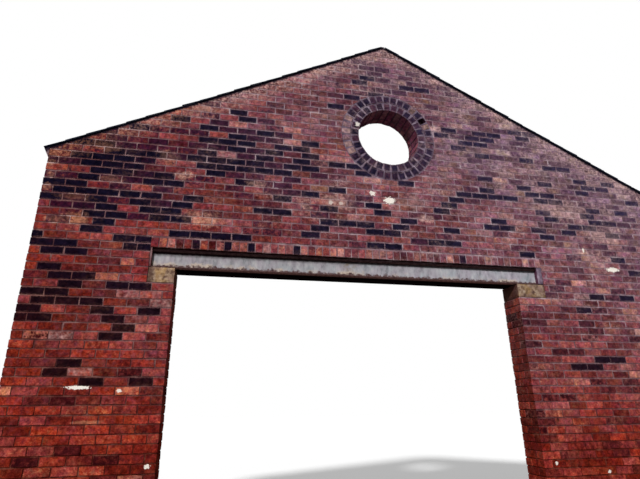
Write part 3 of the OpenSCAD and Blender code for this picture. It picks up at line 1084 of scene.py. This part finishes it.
sandstone = makeStone()
for node, seed in (("left_padstone", 3.0), ("right_padstone", 8.0)):
    lumpyBlock(node + "_block", node, *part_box(node), sandstone, "sandstone", 0.03, 0.003, 0.005, seed)
print("padstones set")


# Joists: rolled steel, its grey paint coming off along the bottom flange

steel = {
    "paint": paints((0.34, 126, 125, 128), (0.46, 155, 150, 154),
                    (0.56, 166, 163, 166), (0.68, 184, 180, 178)),
    "right": (1.06, 1.08, 1.14, 1.0),   # how the paint's colour has changed towards its right end
    "tints": tintsOf((0.36, 0.93, 1.0, 0.99), (0.50, 1.0, 1.0, 1.0), (0.64, 1.03, 0.97, 1.01)),
    "cream": paint(198, 180, 162),
    "stain": paint(128, 110, 78),
    "stainAt": (-0.60, 0.12),   # along the wall, and half its width
    "rust": paints((0.3, 50, 34, 36), (0.5, 86, 64, 64), (0.75, 120, 94, 90)),
    # dark used for the painted shade under the front joist's top flange, and over most of the back joist
    "dirtAndShade": paint(33, 19, 22),
    # near black for faces turned downwards: painted shade
    "under": paint(12, 6, 8),
    "rustHigh": 0.046,          # height of the rusty band over the soffit
    "rustSoft": 0.020,          # how softly it ends
    "creamHigh": 0.076,         # height of the cream undercoat over it
    "underShadeIn": (0.055, 0.100),   # how far in under the flange the lightened rust is clear, and where the black painted shade has taken over
    "underRustLight": (2.9, 2.6, 2.4, 1.0),      # how much lighter it is there: painted light of the floor's bounce
    "webTopShade": 0.22,             # how much darker the web is towards its top, under the flange: painted shade
    "webTopShadeAt": -0.9,           # where along the wall it is so most
    "webTopShadeTo": (0.5, 1.6),     # how far to each side it is as dark, and how far away it ends
    "flangeShadeLeft": (0.030, 0.046), # painted shade under the joist's top flange at its left end: depth, and how softly it ends
    "flangeShadeRight": (0.006, 0.040),
}
joistLow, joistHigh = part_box("front_joist")
joistDepth = joistHigh.z - joistLow.z


def paintedFace(tree, coords, axes, above, rust):
    # the side of the front joist: paint and what has come over or off it
    def alongJoist(atLeft=0.0, atRight=1.0):
        return stretch(tree, axes["X"], joistLow.x, joistHigh.x, atLeft, atRight)

    wander = grain(tree, coords, 18.0, 5.0, 0.65)
    streaks = grain(tree, scaled(tree, coords, 16.0, 16.0, 7.0), 1.0, 5.0, 0.65)
    colour = colourRamp(tree, streaks, steel["paint"])
    colour = tinted(tree, colour, colourRamp(tree, grain(tree, coords, 7.0, 3.0, 0.6, 3.0), steel["tints"]))
    colour = blendColours(tree, alongJoist(), colour, tinted(tree, colour, steel["right"]))
    # one old leak has stained the web
    place, half = steel["stainAt"]
    leak = stretch(tree, sizeOf(tree, minus(tree, axes["X"], place)), 0.0, half, 1.0, 0.0)
    leak = times(tree, leak, stretch(tree, wander, 0.4, 0.6))
    colour = blendColours(tree, times(tree, leak, 0.8), colour, steel["stain"])
    # cream undercoat along the bottom, in patches, and rust below it
    foot = plus(tree, above, stretch(tree, wander, 0.3, 0.7, -0.03, 0.03))
    creamy = stretch(tree, foot, steel["rustHigh"], steel["creamHigh"], 1.0, 0.0)
    patches = stretch(tree, grain(tree, coords, 4.0, 3.0, 0.6, 2.0), 0.46, 0.60, 0.0, 0.85)
    colour = blendColours(tree, times(tree, creamy, patches), colour, steel["cream"])
    rusty = stretch(tree, foot, steel["rustHigh"] - steel["rustSoft"], steel["rustHigh"], 1.0, 0.0)
    colour = blendColours(tree, rusty, colour, rust)
    # painted shade under the top flange, deeper at the left end
    below = minus(tree, joistDepth, above)
    below = plus(tree, below, stretch(tree, wander, 0.3, 0.7, -0.008, 0.008))
    reach, soft = [alongJoist(*ends) for ends in zip(steel["flangeShadeLeft"], steel["flangeShadeRight"])]
    flangeShade = mathNode(tree, "DIVIDE", minus(tree, plus(tree, reach, soft), below), soft, clamp=True)
    colour = blendColours(tree, flangeShade, colour, steel["dirtAndShade"])
    # the web darker towards its top, under the top flange: painted shade
    webTopShade = stretch(tree, below, joistDepth / 5, joistDepth * 0.8, steel["webTopShade"], 0.0)
    aside = sizeOf(tree, minus(tree, axes["X"], steel["webTopShadeAt"]))
    webTopShade = times(tree, webTopShade, stretch(tree, aside, *steel["webTopShadeTo"], 1.0, 0.3))
    return blendColours(tree, webTopShade, colour, steel["dirtAndShade"])


def makeSteel(name, painted):
    material, tree, shader, coords = newMaterial(name, 0.6)
    axes = axesOf(tree, coords)
    above = minus(tree, axes["Z"], wall["soffit"])
    rust = colourRamp(tree, grain(tree, coords, 34.0, 4.0, 0.6), steel["rust"])
    if painted:
        colour = paintedFace(tree, coords, axes, above, rust)
        # the underside: rust by the front edge, lightened there as painted light of the floor's bounce, and
        # black further in as painted shade
        clearTo, endsAt = steel["underShadeIn"]
        inward = stretch(tree, axes["Y"], joistLow.y + clearTo, joistLow.y + endsAt)
        litSoffitRust = tinted(tree, rust, steel["underRustLight"])
        litSoffitRust = blendColours(tree, stretch(tree, above, 0.05, 0.06), litSoffitRust, rust)
        under = blendColours(tree, inward, litSoffitRust, steel["under"])
    else:
        # the back joist: rust, mostly darkened with the same dark as the painted shade on the front joist
        colour = blendColours(tree, 0.8, rust, steel["dirtAndShade"])
        under = steel["under"]
    # faces turned downwards take the underside's colour: painted shade, with painted light along the front
    # joist's edge
    normal = addNode(tree, "ShaderNodeNewGeometry").outputs["Normal"]
    downward = stretch(tree, axesOf(tree, normal)["Z"], -0.9, -0.6, 1.0, 0.0)
    tree.links.new(blendColours(tree, downward, colour, under), shader.inputs["Base Color"])
    addBump(tree, shader, [(grain(tree, coords, 40.0, 4.0), 0.003)])
    return material


coat("front_joist", makeSteel("front_joist_steel", True))
coat("back_joist", makeSteel("back_joist_steel", False))
for node, skin, seed in (
        ("left_end_packing", mortar, 5.0), ("right_end_packing", ringMortar, 6.0),
        ("front_joist_bed", mortar, 7.0), ("back_joist_bed", mortar, 9.0)):
    lumpyBlock(node + "_mortar", node, *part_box(node), skin, "mortar", 0.02, 0.004, 0.002, seed)
print("joists painted")


# Coping: thin slates, each lapped over the one below, on a bed of dark mortar

coping = {
    "gauge": 0.235,         # length of a slate that shows
    "length": 0.40,
    "thick": 0.008,
    "bed": 0.0055,          # thickness of the bed under a slate's head
    "bedHead": 0.004,       # how much thicker it is at the apex
    "bedIn": 0.002,         # how far it stands back from the wall's faces
    "arris": 0.0012,        # how far a slate's edges are worn back
    "slack": 0.010,         # how much narrower than the coping a slate may be
    "margin": 0.006,        # how much narrower it always is
    "tipped": 0.005,        # how far a slate's lower end may stand off the one below
    "ragged": 0.006,        # how far that end may be broken back
    "rough": 0.001,         # unevenness of its sides
    "seed": 5,
    "shades": paints((0.3, 10, 12, 24), (0.5, 23, 26, 40), (0.7, 48, 50, 62)),
    "tones": shadesOf(0.6, 1.7, 0.0, 0.5, 1.0),         # from slate to slate
    "lichen": paint(70, 84, 66),
    "bedShades": paints((0.3, 14, 14, 26), (0.7, 40, 38, 50)),
    "filletShades": paints((0.3, 100, 74, 80), (0.7, 156, 126, 130)),
    "filletGrimeAndShade": 0.034,   # how far down the eave fillets are as dark as the coping: grime and painted shade
}


def makeSlate():
    material, tree, shader, coords = newMaterial("dark_slate", 0.7, 0.1)
    tint = attribute(tree, "look", "Fac")
    coarse = grain(tree, coords, 12.0, 5.0, 0.6, times(tree, tint, 30.0))
    colour = tinted(tree, colourRamp(tree, coarse, coping["shades"]), colourRamp(tree, tint, coping["tones"]))
    lichen = stretch(tree, grain(tree, coords, 30.0, 5.0, 0.7), 0.6, 0.68, 0.0, 0.5)
    tree.links.new(blendColours(tree, lichen, colour, coping["lichen"]), shader.inputs["Base Color"])
    addBump(tree, shader, [(coarse, 0.004), (grain(tree, coords, 120.0, 3.0), 0.001)])
    return material


slateSkin = makeSlate()
darkBed = makeMortar("coping_bed", evenly(coping["bedShades"]), salted=False)
filletMortar = makeMortar("eave_mortar", evenly(coping["filletShades"]), False, coping["filletGrimeAndShade"])


def layCoping(node, side):
    low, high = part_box(node)
    rng = random.Random(f"{coping['seed']} {node}")
    bm = bmesh.new()
    lookLayer = bm.verts.layers.float_color.new("look")
    # along runs up the slope from the eave, out stands square off it
    along = Vector((-side * math.cos(roofAngle), 0.0, math.sin(roofAngle)))
    out = Vector((side * math.sin(roofAngle), 0.0, math.cos(roofAngle)))
    gap = abs(high.x if side < 0 else low.x)
    tipX = (wall["apex"] - low.z) / wall["slope"]
    tip = Vector((side * tipX, 0.0, roofHeight(tipX)))
    total = (tipX - gap) / math.cos(roofAngle)
    lift = coping["thick"] * coping["length"] / coping["gauge"]
    for i in range(math.ceil(total / coping["gauge"])):
        start = i * coping["gauge"]
        stop = min(start + coping["length"], total)
        share = (stop - start) / coping["length"]
        tipped = rng.uniform(0.0, 1.0) ** 3 * coping["tipped"]
        tail = coping["bed"] + lift + (tipped if i > 0 else 0.0)
        head = coping["bed"] + lift * (1 - share)
        slack = rng.uniform(0.4, 1.0) * coping["slack"]
        wide = high.y - low.y - coping["margin"] - slack
        verts = bmesh.ops.create_cube(bm, size=1.0)["verts"]
        crossEdges = [e for e in edgesOf(verts) if abs(directionOf(e).y) > 0.5]
        made = bmesh.ops.subdivide_edges(bm, edges=crossEdges, cuts=3)
        verts = connectedTo(firstVert(made["geom_inner"]))
        tint = rng.random()
        offset = rng.uniform(-0.5, 0.5) * slack
        for v in verts:
            a = start if v.co.x < 0 else stop
            h = (tail if v.co.x < 0 else head) + (coping["thick"] if v.co.z > 0 else 0.0)
            ragged = rng.uniform(0.0, coping["ragged"]) if v.co.x < 0 else 0.0
            y = v.co.y * wide + offset + rng.uniform(-1, 1) * coping["rough"]
            v.co = tip + along * (a + ragged) + out * h + Vector((0.0, y, 0.0))
            v[lookLayer] = (tint, tint, tint, 1.0)
        wearArrises(bm, verts, coping["arris"])
    finishPiece(node + "_slates", bm, slateSkin, node)

    front = Vector((0.0, wall["front"] + coping["bedIn"], 0.0))
    apex = tip + along * total
    side = [tip, apex, apex + out * (coping["bed"] + coping["bedHead"]), tip + out * (coping["bed"] + lift)]
    bm = makePlate([p + front for p in side], wall["back"] - wall["front"] - 2 * coping["bedIn"])
    finishPiece(node + "_bed", bm, darkBed, node)


layCoping("left_coping", -1)
layCoping("right_coping", 1)
coat("apex_bedding", mortar)
coat("left_eave_fillet", filletMortar)
coat("right_eave_fillet", filletMortar)
print("coping laid")


# Camera, as the photograph was taken

view = {
    "place": (-2.0705, -5.3826, 1.509),
    "yaw": 11.88,           # degrees towards +x from looking straight at the wall
    "up": 19.598,           # degrees above the horizon
    "roll": -0.519,         # degrees that the camera leans to its right
    "focal": 464.98,        # in pixels of the picture
    "width": 640,           # of the picture, in pixels
    "sensor": 36.0,         # in millimetres
}
yaw, up, roll = (math.radians(view[key]) for key in ("yaw", "up", "roll"))
forward = Vector((math.sin(yaw) * math.cos(up), math.cos(yaw) * math.cos(up), math.sin(up)))
sideways = Vector((math.cos(yaw), -math.sin(yaw), 0.0))
upright = sideways.cross(forward)
rolledSide = math.cos(roll) * sideways + math.sin(roll) * upright
rolledUp = -math.sin(roll) * sideways + math.cos(roll) * upright
cameraData = bpy.data.cameras.new("camera")
cameraData.sensor_width = view["sensor"]
cameraData.lens = view["focal"] * view["sensor"] / view["width"]
camera = bpy.data.objects.new("camera", cameraData)
turned = Matrix((rolledSide, rolledUp, -forward)).transposed().to_4x4()
camera.matrix_world = Matrix.Translation(view["place"]) @ turned
bpy.context.scene.collection.objects.link(camera)
bpy.context.scene.camera = camera


# Floor, soft lamp from the front left, and a pale surround

studio = {
    "lamp": 3.2,            # strength
    "lampSoft": 6.0,        # degrees across
    "lampFrom": 25.0,       # degrees left of square on to the wall
    "lampUp": 33.0,         # degrees above the horizon
    "surround": 0.25,       # light from all round
    "floorSeen": paint(250, 250, 250),
    "floorGives": paint(140, 138, 136),     # what it reflects on to the wall
    "floorGlow": 0.24,      # added where the camera looks, so that floor and surround are one white
    "floorHalf": 60.0,
}


def seenDirectly(tree):
    path = addNode(tree, "ShaderNodeLightPath").outputs
    seen = larger(tree, path["Is Camera Ray"], path["Is Glossy Ray"])
    return larger(tree, seen, path["Is Transmission Ray"])


bm = bmesh.new()
bmesh.ops.create_grid(bm, x_segments=1, y_segments=1, size=studio["floorHalf"])
floorMesh = bpy.data.meshes.new("floor")
bm.to_mesh(floorMesh)
bm.free()
floorSkin, tree, shader, coords = newMaterial("floor_paint", 0.95)
seen = seenDirectly(tree)
floorColour = blendColours(tree, seen, studio["floorGives"], studio["floorSeen"])
tree.links.new(floorColour, shader.inputs["Base Color"])
shader.inputs["Emission Color"].default_value = (1.0, 1.0, 1.0, 1.0)
tree.links.new(times(tree, seen, studio["floorGlow"]), shader.inputs["Emission Strength"])
floorMesh.materials.append(floorSkin)
floor = bpy.data.objects.new("floor", floorMesh)
bpy.context.scene.collection.objects.link(floor)

sun = bpy.data.lights.new("lamp", "SUN")
sun.energy = studio["lamp"]
sun.angle = math.radians(studio["lampSoft"])
lamp = bpy.data.objects.new("lamp", sun)
across, upwards = math.radians(studio["lampFrom"]), math.radians(studio["lampUp"])
level = math.cos(upwards)
towards = Vector((-math.sin(across) * level, -math.cos(across) * level, math.sin(upwards)))
lamp.rotation_euler = towards.to_track_quat("Z", "Y").to_euler()
bpy.context.scene.collection.objects.link(lamp)

world = bpy.data.worlds.new("surround")
bpy.context.scene.world = world
world.use_nodes = True
background = world.node_tree.nodes["Background"]
background.inputs["Color"].default_value = (1.0, 1.0, 1.0, 1.0)
strength = stretch(world.node_tree, seenDirectly(world.node_tree), 0.0, 1.0, studio["surround"], 1.0)
world.node_tree.links.new(strength, background.inputs["Strength"])
bpy.context.scene.view_settings.view_transform = "Standard"
print("camera and lamp set")
